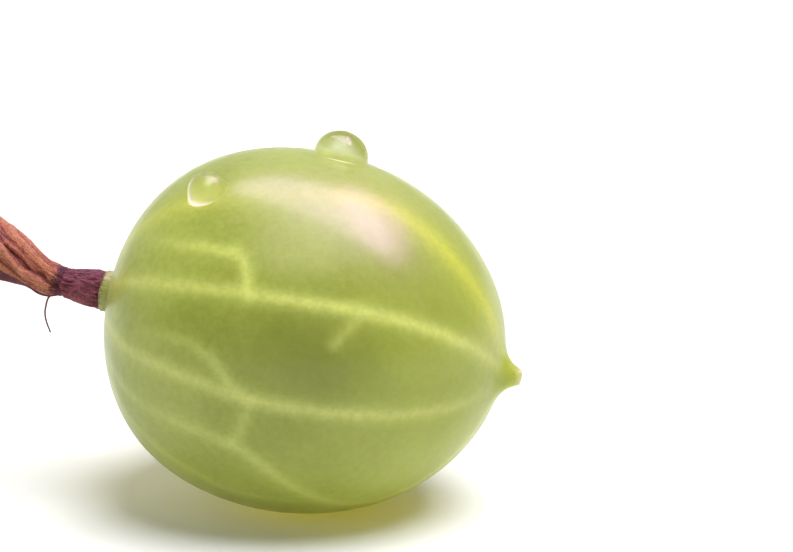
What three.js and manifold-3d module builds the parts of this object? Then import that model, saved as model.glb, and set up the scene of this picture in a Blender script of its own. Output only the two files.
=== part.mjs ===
// A green gooseberry lying on its side, with its dried flower still on one end, the nub of
// its stalk on the other and two water drops on its skin.
// Millimetres and degrees, +Z up. The origin is the middle of the flat spot that the fruit
// rests on. +X points to the stalk end, -X to the dried flower.
import * as THREE from 'three';
import { mergeVertices } from 'three/addons/utils/BufferGeometryUtils.js';
import Module from 'manifold-3d';

const wasm = await Module();
wasm.setup();

// Fruit
const fruit_length = 22.25;       // pole to pole, without the neck and the nub
const fruit_diameter = 20.1;
const belly_shift = 0.092;        // moves the widest ring towards the flower end
const shoulder_fullness = 0.0285; // squares both shoulders
const tip_taper = 0.012;          // draws the stalk end out
const fruit_lean = 8.1;           // the stalk end lies lower by this angle
const resting_depth = 0.3;        // how far the resting side is pressed flat

// Neck: the low green ring that the dried flower grows from
const neck_diameter = 2.3;
const neck_length = 0.62;
const neck_rounding = 0.12;

// Nub of the stalk, a hollow-sided cone that ends where the stalk broke off
const nub_length = 1.1;
const nub_foot_diameter = 5;
const nub_tip_diameter = 0.9;
const nub_taper = 22;             // half angle of the cone at its tip
const nub_hollow = 0.42;          // how far both ends pull the hollow side straight

// Dried flower tube
const tube_length = 2.5;
const tube_ledge = 0.1;           // the tube stands this far inside the neck's edge
const tube_waist_diameter = 1.5;
const narrowing_start = 0.1;      // shares of the tube's length between which it narrows
const narrowing_end = 1.1;
const tube_pleats = 5;
const pleat_depth = 0.05;         // as a share of the tube's radius
const pleat_drift = 115;          // the pleats wind round the tube by this phase

// Dried sepals, twisted together like a rope
const sepal_count = 5;
const sepal_length = 6.3;
const sepal_shortening = 0.07;    // the second and third of every three are shorter by this share
const sepal_thickness = 0.3;
const sepal_share = 0.84;         // part of its sector that a sepal fills
const sepal_root_breadth = 0.86;  // breadth at its root, as a share of the breadth at its middle
const sepal_tip_cut = 0.98;       // how far the sepal's breadth closes at its tip
const sepal_tip_power = 5;        // how late it closes
const crumple_height = 0.05;      // as a share of the bundle's radius
const crumple_waves = 400;        // phase of the crumples along a sepal
const crumple_offset = 97;        // phase between one sepal and the next
const bundle_swell = 0.85;        // how much the bundle's radius grows past the tube's waist
const swell_length = 5;
const bundle_twist = 95;
const flower_bend = 18;           // the bundle turns up from the fruit's axis
const bend_lead = 0.2;            // the bend starts this far inside the tube
const bend_length = 1.2;

// Stamens and style, the threads inside the flower
const stamen_count = 4;
const stamen_length = 4.9;
const thread_diameter = 0.1;
const stamen_ring_diameter = 0.5;
const stamen_spread = 0.8;        // the ring grows by this share towards the tips
const anther_length = 0.6;
const anther_diameter = 0.26;
const style_diameter = 0.16;
const style_length = 5.2;
const style_fork = 2.2;           // length of the two branches at the style's end
const fork_spread = 0.17;         // how far each branch ends from the middle
const branch_thickness = 0.7;     // a branch's diameter, as a share of the style's

// The stamen that has slipped out of the flower. Its route: distance past the tube's end,
// distance to the side, and share of the hanging length
const hanging_length = 2.1;
const hanging_route = [
  [0.1, 0.22, 0],
  [0.36, 0.26, 0.02],
  [0.54, 0.3, 0.12],
  [0.62, 0.32, 0.3],
  [0.6, 0.32, 0.5],
  [0.46, 0.3, 0.72],
  [0.16, 0.26, 1],
];

// Water drops: place on the skin, width and height
const drops = [
  { name: 'water_drop_large', turn: 90.5, around: -11.5, width: 3.1, height: 1.4 },
  { name: 'water_drop_small', turn: 59.2, around: 25.4, width: 2.25, height: 1.0 },
];

const joint_gap = 0.05;           // clearance between pieces that touch

// Fineness of the solids: numbers of facets
const rings_round = 56;
const rings_along = 26;
const nub_rings = 8;
const drop_sides = 20;
const drop_rings = 14;
const tube_sides_per_pleat = 6;
const tube_rings = 8;
const sepal_columns = 4;
const sepal_rows = 14;
const thread_sides = 6;
const anther_sides = 8;
const anther_rings = 6;
const stamen_steps = 12;
const style_steps = 6;
const hanging_steps = 18;

const weld_distance = 1e-4;       // corners closer than this are one
const least_turn = 1e-6;          // in degrees, where searches along the outline stop
const search_step = 0.05;         // in degrees, for the lowest point of the skin

const radians = THREE.MathUtils.degToRad;
const half_length = fruit_length / 2;

const skin_green = new THREE.MeshStandardMaterial({ color: 0xaab75c, roughness: 0.28, metalness: 0 });
const tube_brown = new THREE.MeshStandardMaterial({ color: 0x7d4a47, roughness: 0.75, metalness: 0 });
const sepal_tan = new THREE.MeshStandardMaterial({ color: 0xb87155, roughness: 0.7, metalness: 0 });
const thread_red = new THREE.MeshStandardMaterial({ color: 0x6e3a3c, roughness: 0.6, metalness: 0 });
const water = new THREE.MeshStandardMaterial({
  color: 0xe8efe0, roughness: 0.02, metalness: 0, transparent: true, opacity: 0.4,
});

// ---- Joining and cutting ----

// Closed geometry with shared corners and nothing but positions.
function welded(geometry) {
  const bare = geometry.clone();
  bare.deleteAttribute('normal');
  bare.deleteAttribute('uv');
  const merged = mergeVertices(bare, weld_distance);
  const corners = merged.getIndex().array;
  const kept = [];
  for (let i = 0; i < corners.length; i += 3) {
    const [a, b, c] = corners.slice(i, i + 3);
    if (a !== b && b !== c && c !== a) {
      kept.push(a, b, c);
    }
  }
  merged.setIndex(kept);
  return merged;
}

function to_solid(geometry) {
  const closed = welded(geometry);
  const vertProperties = new Float32Array(closed.getAttribute('position').array);
  const triVerts = new Uint32Array(closed.getIndex().array);
  return new wasm.Manifold(new wasm.Mesh({ numProp: 3, vertProperties, triVerts }));
}

function to_geometry(solid) {
  const mesh = solid.getMesh();
  const geometry = new THREE.BufferGeometry();
  geometry.setAttribute('position', new THREE.BufferAttribute(mesh.vertProperties, 3));
  geometry.setIndex(new THREE.BufferAttribute(mesh.triVerts, 1));
  geometry.computeVertexNormals();
  return geometry;
}

// Moves every corner of a closed geometry to where shape_point sends it.
function reshaped(geometry, shape_point) {
  const closed = welded(geometry);
  const position = closed.getAttribute('position');
  const corner = new THREE.Vector3();
  for (let i = 0; i < position.count; i += 1) {
    corner.fromBufferAttribute(position, i);
    const moved = shape_point(corner);
    position.setXYZ(i, moved.x, moved.y, moved.z);
  }
  closed.computeVertexNormals();
  return closed;
}

function named_mesh(name, geometry, material) {
  const mesh = new THREE.Mesh(geometry, material.clone());
  mesh.name = name;
  return mesh;
}

// ---- Fruit, in its own frame: +X is its axis, from the flower end to the stalk end ----

// The outline is an ellipse with three cosine terms. turn is 0 at the flower pole and 180
// degrees at the stalk pole.
function fullness(turn) {
  const terms = 1 + belly_shift * Math.cos(turn) + shoulder_fullness * Math.cos(2 * turn)
    + tip_taper * Math.cos(3 * turn);
  return Math.sin(turn) * terms;
}

function widest_fullness() {
  let widest = 0;
  for (let degree = 0; degree <= 180; degree += 1) {
    widest = Math.max(widest, fullness(radians(degree)));
  }
  return widest;
}

const fullness_scale = fruit_diameter / 2 / widest_fullness();

// A point of the outline: x along the fruit's axis, y away from it.
function skin_point(turn) {
  return new THREE.Vector2(-half_length * Math.cos(turn), fullness_scale * fullness(turn));
}

// Direction along the outline, towards the stalk end.
function skin_direction(turn) {
  const step = radians(search_step) / 2;
  return skin_point(turn + step).sub(skin_point(turn - step)).normalize();
}

// The outward normal of the outline.
function skin_normal(turn) {
  const along = skin_direction(turn);
  return new THREE.Vector2(-along.y, along.x);
}

// The turn at which the outline first reaches a radius, seen from either pole.
function turn_at_radius(radius, from_stalk_end) {
  let low = 0;
  let high = 90;
  while (high - low > least_turn) {
    const middle = (low + high) / 2;
    const turn = radians(from_stalk_end ? 180 - middle : middle);
    if (skin_point(turn).y < radius) {
      low = middle;
    } else {
      high = middle;
    }
  }
  return radians(from_stalk_end ? 180 - high : high);
}

// Turns a list of outline points round the fruit's axis.
function turned(outline) {
  const points = outline.map((point) => new THREE.Vector2(point.y, point.x));
  const geometry = new THREE.LatheGeometry(points, rings_round);
  geometry.rotateZ(-Math.PI / 2);
  return geometry;
}

// The bare skin without neck and nub, grown outwards by a clearance.
function grown_skin(clearance) {
  const outline = [];
  for (let i = 0; i <= rings_along; i += 1) {
    const turn = Math.PI * i / rings_along;
    const point = skin_point(turn).addScaledVector(skin_normal(turn), clearance);
    outline.push(i % rings_along === 0 ? point.setY(0) : point);
  }
  return turned(outline);
}

function neck_outline() {
  const radius = neck_diameter / 2;
  const face = -half_length - neck_length;
  return [
    new THREE.Vector2(face, 0),
    new THREE.Vector2(face, radius - neck_rounding),
    new THREE.Vector2(face + neck_rounding, radius),
  ];
}

function nub_outline(foot_turn) {
  const foot = skin_point(foot_turn);
  const tip = new THREE.Vector2(half_length + nub_length, nub_tip_diameter / 2);
  const reach = foot.distanceTo(tip) * nub_hollow;
  const taper = radians(nub_taper);
  const side = new THREE.CubicBezierCurve(
    foot,
    foot.clone().addScaledVector(skin_direction(foot_turn), reach),
    tip.clone().add(new THREE.Vector2(-reach * Math.cos(taper), reach * Math.sin(taper))),
    tip,
  );
  return [...side.getPoints(nub_rings).slice(1), new THREE.Vector2(tip.x, 0)];
}

function fruit_outline() {
  const first = turn_at_radius(neck_diameter / 2, false);
  const last = turn_at_radius(nub_foot_diameter / 2, true);
  const outline = neck_outline();
  for (let i = 0; i <= rings_along; i += 1) {
    outline.push(skin_point(first + (last - first) * i / rings_along));
  }
  return [...outline, ...nub_outline(last)];
}

// The fruit's frame in the part's frame: leaned, and lowered so that the resting side is cut
// at height zero, with the lowest point of the uncut skin under the origin.
function fruit_placing() {
  const lean = radians(fruit_lean);
  let lowest = new THREE.Vector2(0, 0);
  for (let degree = 0; degree <= 180; degree += search_step) {
    const point = skin_point(radians(degree));
    const x = point.x * Math.cos(lean) - point.y * Math.sin(lean);
    const z = -point.x * Math.sin(lean) - point.y * Math.cos(lean);
    if (z < lowest.y) {
      lowest = new THREE.Vector2(x, z);
    }
  }
  const placing = new THREE.Matrix4().makeRotationY(lean);
  placing.setPosition(-lowest.x, 0, -lowest.y - resting_depth);
  return placing;
}

function floor_cutter(placing) {
  const thickness = fruit_diameter;
  const block = new THREE.BoxGeometry(2 * fruit_length, 2 * fruit_length, thickness);
  block.translate(0, 0, -thickness / 2);
  block.applyMatrix4(placing.clone().invert());
  return to_solid(block);
}

function make_berry(placing) {
  const whole = to_solid(turned(fruit_outline()));
  const rested = whole.subtract(floor_cutter(placing));
  return named_mesh('berry', to_geometry(rested), skin_green);
}

// A drop is an ellipsoid that sits on the skin, cut by the skin grown by the joint gap.
function make_drop(drop) {
  const turn = radians(drop.turn);
  const around = radians(drop.around);
  const out = (point) => new THREE.Vector3(
    point.x, -point.y * Math.sin(around), point.y * Math.cos(around),
  );
  const dome = new THREE.SphereGeometry(1, drop_sides, drop_rings);
  dome.rotateX(Math.PI / 2);
  dome.scale(drop.width / 2, drop.width / 2, drop.height);
  const upright = new THREE.Vector3(0, 0, 1);
  dome.applyQuaternion(new THREE.Quaternion().setFromUnitVectors(upright, out(skin_normal(turn))));
  const seat = out(skin_point(turn));
  dome.translate(seat.x, seat.y, seat.z);
  const solid = to_solid(dome).subtract(to_solid(grown_skin(joint_gap)));
  return named_mesh(drop.name, to_geometry(solid), water);
}

// ---- Dried flower, in its own frame: +X leads out of the neck, +Y is the side, +Z is up ----

// The middle line runs straight through the tube, then turns up by flower_bend.
function middle_line(along) {
  const slope = Math.tan(radians(flower_bend));
  const bend_start = tube_length - bend_lead;
  const share = THREE.MathUtils.clamp((along - bend_start) / bend_length, 0, 1);
  const straight_on = Math.max(0, along - bend_start - bend_length);
  const rise = slope * (bend_length * (share ** 3 - share ** 4 / 2) + straight_on);
  const heading = Math.atan(slope * THREE.MathUtils.smoothstep(share, 0, 1));
  return { centre: new THREE.Vector3(along, 0, rise), heading };
}

// A point beside the middle line, at a radius and an angle from the top towards +Y.
function beside_middle(along, radius, angle) {
  const { centre, heading } = middle_line(along);
  const up = new THREE.Vector3(-Math.sin(heading), 0, Math.cos(heading));
  const side = new THREE.Vector3(0, 1, 0);
  return centre
    .addScaledVector(up, radius * Math.cos(angle))
    .addScaledVector(side, radius * Math.sin(angle));
}

// The tube narrows from the neck to its waist and is lightly pleated.
function make_tube() {
  const root_radius = neck_diameter / 2 - tube_ledge;
  const waist_radius = tube_waist_diameter / 2;
  const sides = tube_sides_per_pleat * tube_pleats;
  const wall = new THREE.CylinderGeometry(1, 1, 1, sides, tube_rings);
  const geometry = reshaped(wall, (corner) => {
    const share = corner.y + 0.5;
    const angle = Math.atan2(corner.z, corner.x);
    const narrowed = THREE.MathUtils.smoothstep(share, narrowing_start, narrowing_end);
    const radius = THREE.MathUtils.lerp(root_radius, waist_radius, narrowed);
    const fold = 1 + Math.cos(tube_pleats * angle + radians(pleat_drift) * share);
    const pleated = radius * (1 - pleat_depth * share * fold);
    const along = joint_gap + share * (tube_length - joint_gap);
    return beside_middle(along, pleated * Math.hypot(corner.x, corner.z), angle);
  });
  return named_mesh('floral_tube', geometry, tube_brown);
}

// One sepal: a curled strap in its own sector round the middle line, twisting as it goes.
function make_sepal(index) {
  const sector = 2 * Math.PI / sepal_count;
  const own_length = sepal_length * (1 - sepal_shortening * (index % 3));
  const start = tube_length + joint_gap;
  const strap = new THREE.BoxGeometry(2, 1, 1, sepal_columns, sepal_rows, 1);
  const geometry = reshaped(strap, (corner) => {
    const share = corner.y + 0.5;
    const along = start + share * own_length;
    const widening = THREE.MathUtils.lerp(sepal_root_breadth, 1, Math.sin(Math.PI * share));
    const breadth = widening * Math.sqrt(1 - sepal_tip_cut * share ** sepal_tip_power);
    const angle = sector * index - radians(bundle_twist) * share
      - corner.x * sepal_share * breadth * sector / 2;
    const wave = radians(crumple_waves * share + crumple_offset * index);
    const crumple = crumple_height * share * Math.sin(wave);
    const swell = bundle_swell * THREE.MathUtils.smoothstep(along - start, 0, swell_length);
    const outer = (tube_waist_diameter / 2 + swell) * (1 + crumple);
    return beside_middle(along, outer - sepal_thickness * (0.5 - corner.z), angle);
  });
  return named_mesh(`sepal_${index + 1}`, geometry, sepal_tan);
}

// A round thread through points, with flat ends.
function thread(points, diameter, steps) {
  const section = new THREE.Shape();
  section.absarc(0, 0, diameter / 2, 0, 2 * Math.PI, false);
  const curve = new THREE.CatmullRomCurve3(points);
  return new THREE.ExtrudeGeometry(section, {
    extrudePath: curve, steps, curveSegments: thread_sides, bevelEnabled: false,
  });
}

// A stamen inside the bundle: a thread that follows the twist, with its anther at the end.
function make_stamen(index) {
  const place = 2 * Math.PI * index / stamen_count;
  const start = tube_length + joint_gap;
  const points = [];
  for (let i = 0; i <= stamen_steps; i += 1) {
    const share = i / stamen_steps;
    const radius = stamen_ring_diameter / 2 * (1 + stamen_spread * share);
    points.push(beside_middle(start + share * stamen_length, radius, place - share));
  }
  const end = points[points.length - 1];
  const anther = new THREE.SphereGeometry(1, anther_sides, anther_rings);
  anther.scale(anther_length / 2, anther_diameter / 2, anther_diameter / 2);
  anther.rotateY(-radians(flower_bend));
  anther.translate(end.x, end.y, end.z);
  const solid = to_solid(thread(points, thread_diameter, stamen_steps)).add(to_solid(anther));
  return named_mesh(`stamen_${index + 1}`, to_geometry(solid), thread_red);
}

// The style runs up the middle and forks into two branches.
function make_style() {
  const start = tube_length + joint_gap;
  const fork = start + style_length - style_fork;
  const stations = [start, (start + fork) / 2, fork + style_diameter];
  const stem = stations.map((along) => beside_middle(along, 0, 0));
  let solid = to_solid(thread(stem, style_diameter, style_steps));
  for (const side of [-1, 1]) {
    const branch = [0, 0.5, 1].map((share) => beside_middle(
      fork + share * style_fork, side * fork_spread * share, Math.PI / 2,
    ));
    solid = solid.add(to_solid(thread(branch, branch_thickness * style_diameter, style_steps)));
  }
  return named_mesh('style', to_geometry(solid), thread_red);
}

// The stamen that slipped out: rooted outside the rim of the tube, looping, then hanging down.
function make_hanging_stamen() {
  const clear = tube_waist_diameter / 2 + thread_diameter / 2 + joint_gap;
  const points = hanging_route.map(([past, aside, share]) => new THREE.Vector3(
    tube_length + past, aside, -clear - share * hanging_length,
  ));
  const geometry = thread(points, thread_diameter, hanging_steps);
  return named_mesh('stamen_hanging', welded(geometry), thread_red);
}

function make_flower() {
  const flower = new THREE.Group();
  flower.add(make_tube());
  for (let i = 0; i < sepal_count; i += 1) {
    flower.add(make_sepal(i));
  }
  for (let i = 0; i < stamen_count; i += 1) {
    flower.add(make_stamen(i));
  }
  flower.add(make_style(), make_hanging_stamen());
  flower.position.set(-half_length - neck_length, 0, 0);
  flower.rotation.z = Math.PI;
  return flower;
}

// ---- The whole gooseberry ----

const placing = fruit_placing();
const fruit = new THREE.Group();
fruit.add(make_berry(placing));
for (const drop of drops) {
  fruit.add(make_drop(drop));
}
fruit.add(make_flower());
fruit.applyMatrix4(placing);

const gooseberry = new THREE.Group();
gooseberry.add(fruit);

export default gooseberry;
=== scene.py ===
"""A green gooseberry with its dried flower, the nub of its stalk and two water drops.

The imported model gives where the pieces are. This script gives them their fine surfaces:
a turned fruit with veins under its skin, a wrinkled flower tube, five twisted dried
sepals, threads and clear drops. Shapes are worked out in millimetres in the fruit's own
frame, whose X runs from the flower end to the stalk end, and are then laid in the row frame.
"""

import math

import bpy
import numpy as np
from mathutils import Matrix, Vector


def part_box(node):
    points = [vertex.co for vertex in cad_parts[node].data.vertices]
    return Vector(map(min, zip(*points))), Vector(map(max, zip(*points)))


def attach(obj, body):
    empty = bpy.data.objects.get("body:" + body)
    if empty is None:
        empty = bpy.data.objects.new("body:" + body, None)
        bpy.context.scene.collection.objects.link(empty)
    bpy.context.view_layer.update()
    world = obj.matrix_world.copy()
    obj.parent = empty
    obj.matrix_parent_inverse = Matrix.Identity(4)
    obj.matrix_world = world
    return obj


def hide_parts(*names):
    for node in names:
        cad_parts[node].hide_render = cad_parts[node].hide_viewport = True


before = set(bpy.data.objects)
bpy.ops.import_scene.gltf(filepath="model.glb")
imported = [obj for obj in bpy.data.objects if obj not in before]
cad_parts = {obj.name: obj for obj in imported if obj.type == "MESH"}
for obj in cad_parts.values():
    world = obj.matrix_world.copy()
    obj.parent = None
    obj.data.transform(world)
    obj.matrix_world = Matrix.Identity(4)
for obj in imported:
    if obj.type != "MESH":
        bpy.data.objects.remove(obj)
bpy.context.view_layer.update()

MM = 0.001

# ---- Sizes in millimetres, angles in degrees ----

fruit_length = 22.25
fruit_diameter = 20.1
belly_shift = 0.092         # moves the widest place towards the flower end
shoulder_fullness = 0.0285  # how blunt both ends are
tip_taper = 0.012           # slims the stalk end
fruit_lean = 8.1
body_steps = 220

neck_diameter = 2.3
neck_length = 0.62
neck_lip = 0.14             # the rounded edge of the neck's face
dish_depths = (0.05, 0.04)  # the shallow dish in that face, in its middle and half way out

nub_length = 1.1
nub_foot_diameter = 5
nub_tip_diameter = 0.9
nub_taper = 22
nub_hollow = 0.42           # share of its length over which each end's bend reaches
nub_rim = 0.09
nub_rim_insets = (0.03, 0.12, 0.16)     # the rim's bend, its inner edge and the scar's wall
nub_steps = 28
scar_depth = 0.09
bend_steps = 8

tube_length = 2.5
tube_ledge = 0.1            # the neck's face shows this far outside the tube's foot
tube_waist_diameter = 1.5
tube_narrowing = (0.1, 1.1) # the shares of its length between which it narrows
tube_folds = 14
tube_fold_depth = 0.13
tube_dent_depth = 0.06      # as a share of its radius
foot_tuck, foot_tuck_share = 0.1, 0.05  # how far its foot is drawn in, over which share
end_tuck, end_tuck_start = 0.3, 0.8     # how far its end is drawn in, from which share on
tube_sink = 0.03            # its foot starts this far inside the neck's dished face
tube_reach = 0.15           # its end runs this much further, in under the sepals

sepal_count = 5
sepal_tones = (0.8, 0.95, 0.75, 0.0, 0.2)   # 0 is dark purple, 1 is orange
sepal_bulges = (0, 0, 0.2, 0.36, 0.1)       # how far each one's foot swells out
bulge_place, bulge_width = 1.0, 0.7
sepal_length = 6.3
sepal_shortening = 0.07     # share by which every second and third one is shorter
sepal_thickness = 0.14
sepal_thinning = 0.4        # share of the thickness lost at the tip
sepal_root_depth = 0.25     # how far before the tube's end the sepals start
sepal_end_reach = 0.3
tip_cut, tip_power = 0.985, 6   # how blunt the tips are
sepal_overlap = 0.6         # half a sepal's reach, in shares of its sector
sepal_folds = 8
sepal_fold_depth = 0.15
crown_height = 0.17         # how far a sepal's middle stands out from its edges
pleat_depth, pleat_turn = 0.09, 2.2     # pleats along a sepal, and how many half turns of them
crumple_depth = 0.08
angle_sway = 0.2            # how far a sepal strays from its twist, in radians
sepal_twist_span = (-0.3, 1.1)  # the shares of its length between which it twists
edge_tuck = 0.06            # how far the edge that lies under the next sepal is sunk
tip_parting = (0.1, 0.5)    # least and most that a tip stands off the bundle
bundle_turn = -6            # turns all the sepals together
bundle_twist = 95
bundle_swell = 0.85         # how much the bundle widens over swell_length
bundle_sink = 0.12          # how far inside the tube's waist the bundle starts
swell_start, swell_length = 0.2, 5
collar_height, collar_end = 0.04, 0.6
flower_bend = 18            # how far the sepals rise from the tube's line
bend_lead = 0.2             # the bend starts this far before the tube's end
bend_length = 1.2

thread_diameter = 0.12
thread_steps = 70
thread_end_share = 0.75     # its width at the end, as a share of its width at the foot
thread_kink, kink_scale = 0.03, 900.0
thread_rounding = (0.97, 0.35)  # from this share of its length on, the end draws in to this
stamen_count = 4
stamen_length = 4.9
stamen_circle = 0.25        # radius of the ring that the stamens stand on
stamen_spread = 0.8         # how much wider that ring is at their heads
stamen_wave, stamen_waves = 0.05, 9
anther_length, anther_diameter = 0.55, 0.24
style_length = 5.2
style_fork, style_spread = 0.55, 0.2
thread_root = 0.1           # threads start this far inside the tube's end
line_points = 40

# The thread that slipped out: distance past the tube's end, to the side, and above the
# lowest line that clears the tube
hanging_gap = 0.02
hanging_route = [
    (0.36, 0.24, 0.15), (0.44, 0.28, -0.06), (0.56, 0.3, -0.26), (0.62, 0.32, -0.66),
    (0.61, 0.32, -1.1), (0.48, 0.3, -1.58), (0.18, 0.26, -2.2),
]

# Drops: how far the dome's lowest part sinks, how far its foot reaches down into the skin,
# and the share by which that foot is drawn in
drop_sink, drop_skirt, drop_tuck = 0.28, 0.25, 0.12
drop_fullness = 0.9                     # under 1 makes the dome's side steeper
drop_waves = [(3, 1, 0.02), (5, 0, 0.015)]  # its outline's waves: count, turn and height
# The crescent is light painted into the skin's colour, not made by the lamps.
crescent_shift = 0.06                   # the crescent lies this far towards the gathered side
crescent_edge = (0.92, 1.04)            # it fades between these shares of the drop's radius

# Water drops: their places on the skin, the way they gather light in the fruit's frame, how
# far off and how wide the crescent of that light is, which is painted into the skin, and the water's
# tint, which is painted shade, and haze
drops = [
    {"name": "large_drop", "node": "water_drop_large", "turn": 90.5, "around": -11.5,
     "width": 3.1, "height": 1.4, "gathers": (0.25, -1.0, -0.2), "focus": 1.2, "depth": 0.15,
     "light": 0.85, "tint": (0.75, 0.78, 0.55), "haze": 0.2},
    {"name": "small_drop", "node": "water_drop_small", "turn": 59.2, "around": 25.4,
     "width": 2.25, "height": 1.0, "gathers": (-0.8, -0.7, -0.5), "focus": 0.35, "depth": 0.5,
     "light": 0.48, "tint": (0.72, 0.71, 0.78), "haze": 0.3},
]

# Steps of each fine surface, lengthwise and round or across
fruit_mesh, tube_mesh, sepal_mesh, drop_mesh = (320, 288), (150, 320), (190, 90), (60, 96)

# ---- Camera: the fruit seen a little from its stalk end and from above ----

view_azimuth = 13
view_elevation = 17
view_distance = 230
view_width = 43.81          # width of the picture at the fruit's middle
view_right = 4.99           # the picture's middle lies this far right of the fruit's middle
view_up = 3.14
sensor_width = 36


def at_angle(degrees):
    return math.radians(degrees)


# ---- Node trees ----

class Wire:
    """A value on its way through a node tree. Arithmetic on it adds Math nodes."""

    def __init__(self, tree, socket):
        self.tree = tree
        self.socket = socket

    def __add__(self, other):
        return self.tree.maths("ADD", self, other)

    def __radd__(self, other):
        return self.tree.maths("ADD", other, self)

    def __sub__(self, other):
        return self.tree.maths("SUBTRACT", self, other)

    def __rsub__(self, other):
        return self.tree.maths("SUBTRACT", other, self)

    def __mul__(self, other):
        return self.tree.maths("MULTIPLY", self, other)

    def __rmul__(self, other):
        return self.tree.maths("MULTIPLY", other, self)

    def __truediv__(self, other):
        return self.tree.maths("DIVIDE", self, other)

    def __rtruediv__(self, other):
        return self.tree.maths("DIVIDE", other, self)

    def __pow__(self, other):
        return self.tree.maths("POWER", self, other)


class Made:
    """A node in a tree. Indexing it by an output's name or number gives a Wire."""

    def __init__(self, tree, node):
        self.tree = tree
        self.node = node

    def __getitem__(self, key):
        return Wire(self.tree, self.node.outputs[key])


class Tree:
    """A node tree that is being made."""

    def __init__(self, owner):
        self.owner = owner
        owner.nodes.clear()

    def add(self, kind, settings=None, sockets=None):
        """Adds a node: its settings first, then the values or Wires of its sockets."""
        node = self.owner.nodes.new(kind)
        for name, value in (settings or {}).items():
            setattr(node, name, value)
        for key, value in (sockets or {}).items():
            if isinstance(value, Wire):
                self.owner.links.new(value.socket, node.inputs[key])
            else:
                node.inputs[key].default_value = value
        return Made(self, node)

    def maths(self, operation, *values):
        return self.add("ShaderNodeMath", {"operation": operation}, dict(enumerate(values)))[0]

    def vector(self, operation, *values):
        made = self.add("ShaderNodeVectorMath", {"operation": operation}, dict(enumerate(values)))
        return made["Value" if operation in ("LENGTH", "DOT_PRODUCT", "DISTANCE") else "Vector"]

    def scaled(self, vector, factor):
        made = self.add("ShaderNodeVectorMath", {"operation": "SCALE"}, {0: vector, "Scale": factor})
        return made["Vector"]

    def ramp(self, value, low, high, to_low=0.0, to_high=1.0):
        """A smooth step from one value to another."""
        return self.add(
            "ShaderNodeMapRange",
            {"interpolation_type": "SMOOTHSTEP"},
            {0: value, 1: low, 2: high, 3: to_low, 4: to_high},
        )[0]

    def blend(self, colour_a, colour_b, factor):
        return self.add(
            "ShaderNodeMix", {"data_type": "RGBA"}, {0: factor, 6: colour_a, 7: colour_b}
        )[2]

    def noise(self, vector, scale, detail=2.0, roughness=0.5):
        return self.add(
            "ShaderNodeTexNoise", {},
            {"Vector": vector, "Scale": scale, "Detail": detail, "Roughness": roughness},
        )[0]

    def stretched_noise(self, vector, scales, detail=2.0, roughness=0.5):
        """Noise with its own scale along each axis."""
        return self.noise(self.vector("MULTIPLY", vector, scales), 1.0, detail, roughness)

    def parts(self, vector):
        return self.add("ShaderNodeSeparateXYZ", {}, {0: vector})

    def joined(self, x, y, z):
        return self.add("ShaderNodeCombineXYZ", {}, {"X": x, "Y": y, "Z": z})["Vector"]

    def moved(self, geometry, kind, value):
        """Geometry with its points set to a Position, or moved by an Offset."""
        return self.add("GeometryNodeSetPosition", {}, {"Geometry": geometry, kind: value})["Geometry"]

    def stored(self, geometry, name, value, data_type="FLOAT"):
        """Geometry with a named value on its points."""
        return self.add(
            "GeometryNodeStoreNamedAttribute", {"data_type": data_type, "domain": "POINT"},
            {"Geometry": geometry, "Name": name, "Value": value},
        )["Geometry"]


def srgb(red, green, blue):
    """A colour given as the eye sees it, 0 to 255, in the light's own values."""
    def linear(part):
        part = part / 255
        return part / 12.92 if part <= 0.04045 else ((part + 0.055) / 1.055) ** 2.4
    return (linear(red), linear(green), linear(blue), 1.0)


# ---- Fruit outline ----

def fullness(turn):
    terms = 1 + belly_shift * np.cos(turn) + shoulder_fullness * np.cos(2 * turn)
    return np.sin(turn) * (terms + tip_taper * np.cos(3 * turn))


outline_samples = 721
search_halvings = 40
fullness_scale = fruit_diameter / 2 / fullness(np.linspace(0, math.pi, outline_samples)).max()


def skin_point(turn):
    """Place on the outline: along the fruit's axis and away from it."""
    return np.array([-fruit_length / 2 * math.cos(turn), fullness_scale * float(fullness(turn))])


def skin_direction(turn):
    step = 1e-4
    along = skin_point(turn + step) - skin_point(turn - step)
    return along / np.linalg.norm(along)


def turn_at_radius(radius, from_stalk_end):
    """Where the outline reaches a radius, from the neck or from the stalk end."""
    low, high = 0.0, math.pi / 2
    for _ in range(search_halvings):
        middle = (low + high) / 2
        turn = math.pi - middle if from_stalk_end else middle
        if skin_point(turn)[1] < radius:
            low = middle
        else:
            high = middle
    return math.pi - high if from_stalk_end else high


def rounded_steps(start, corner, end, count):
    """A quadratic bend from start to end round a corner."""
    shares = np.linspace(0, 1, count)[:, None]
    start, corner, end = np.array(start), np.array(corner), np.array(end)
    return (1 - shares) ** 2 * start + 2 * shares * (1 - shares) * corner + shares ** 2 * end


def neck_outline():
    """The dished face under the flower and its rounded edge."""
    radius = neck_diameter / 2
    face = -fruit_length / 2 - neck_length
    edge = rounded_steps(
        [face, radius - neck_lip], [face, radius], [face + neck_lip, radius], bend_steps
    )
    middle, half_way = dish_depths
    return np.vstack([[[face + middle, 0.0], [face + half_way, 0.5 * radius]], edge])


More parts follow.
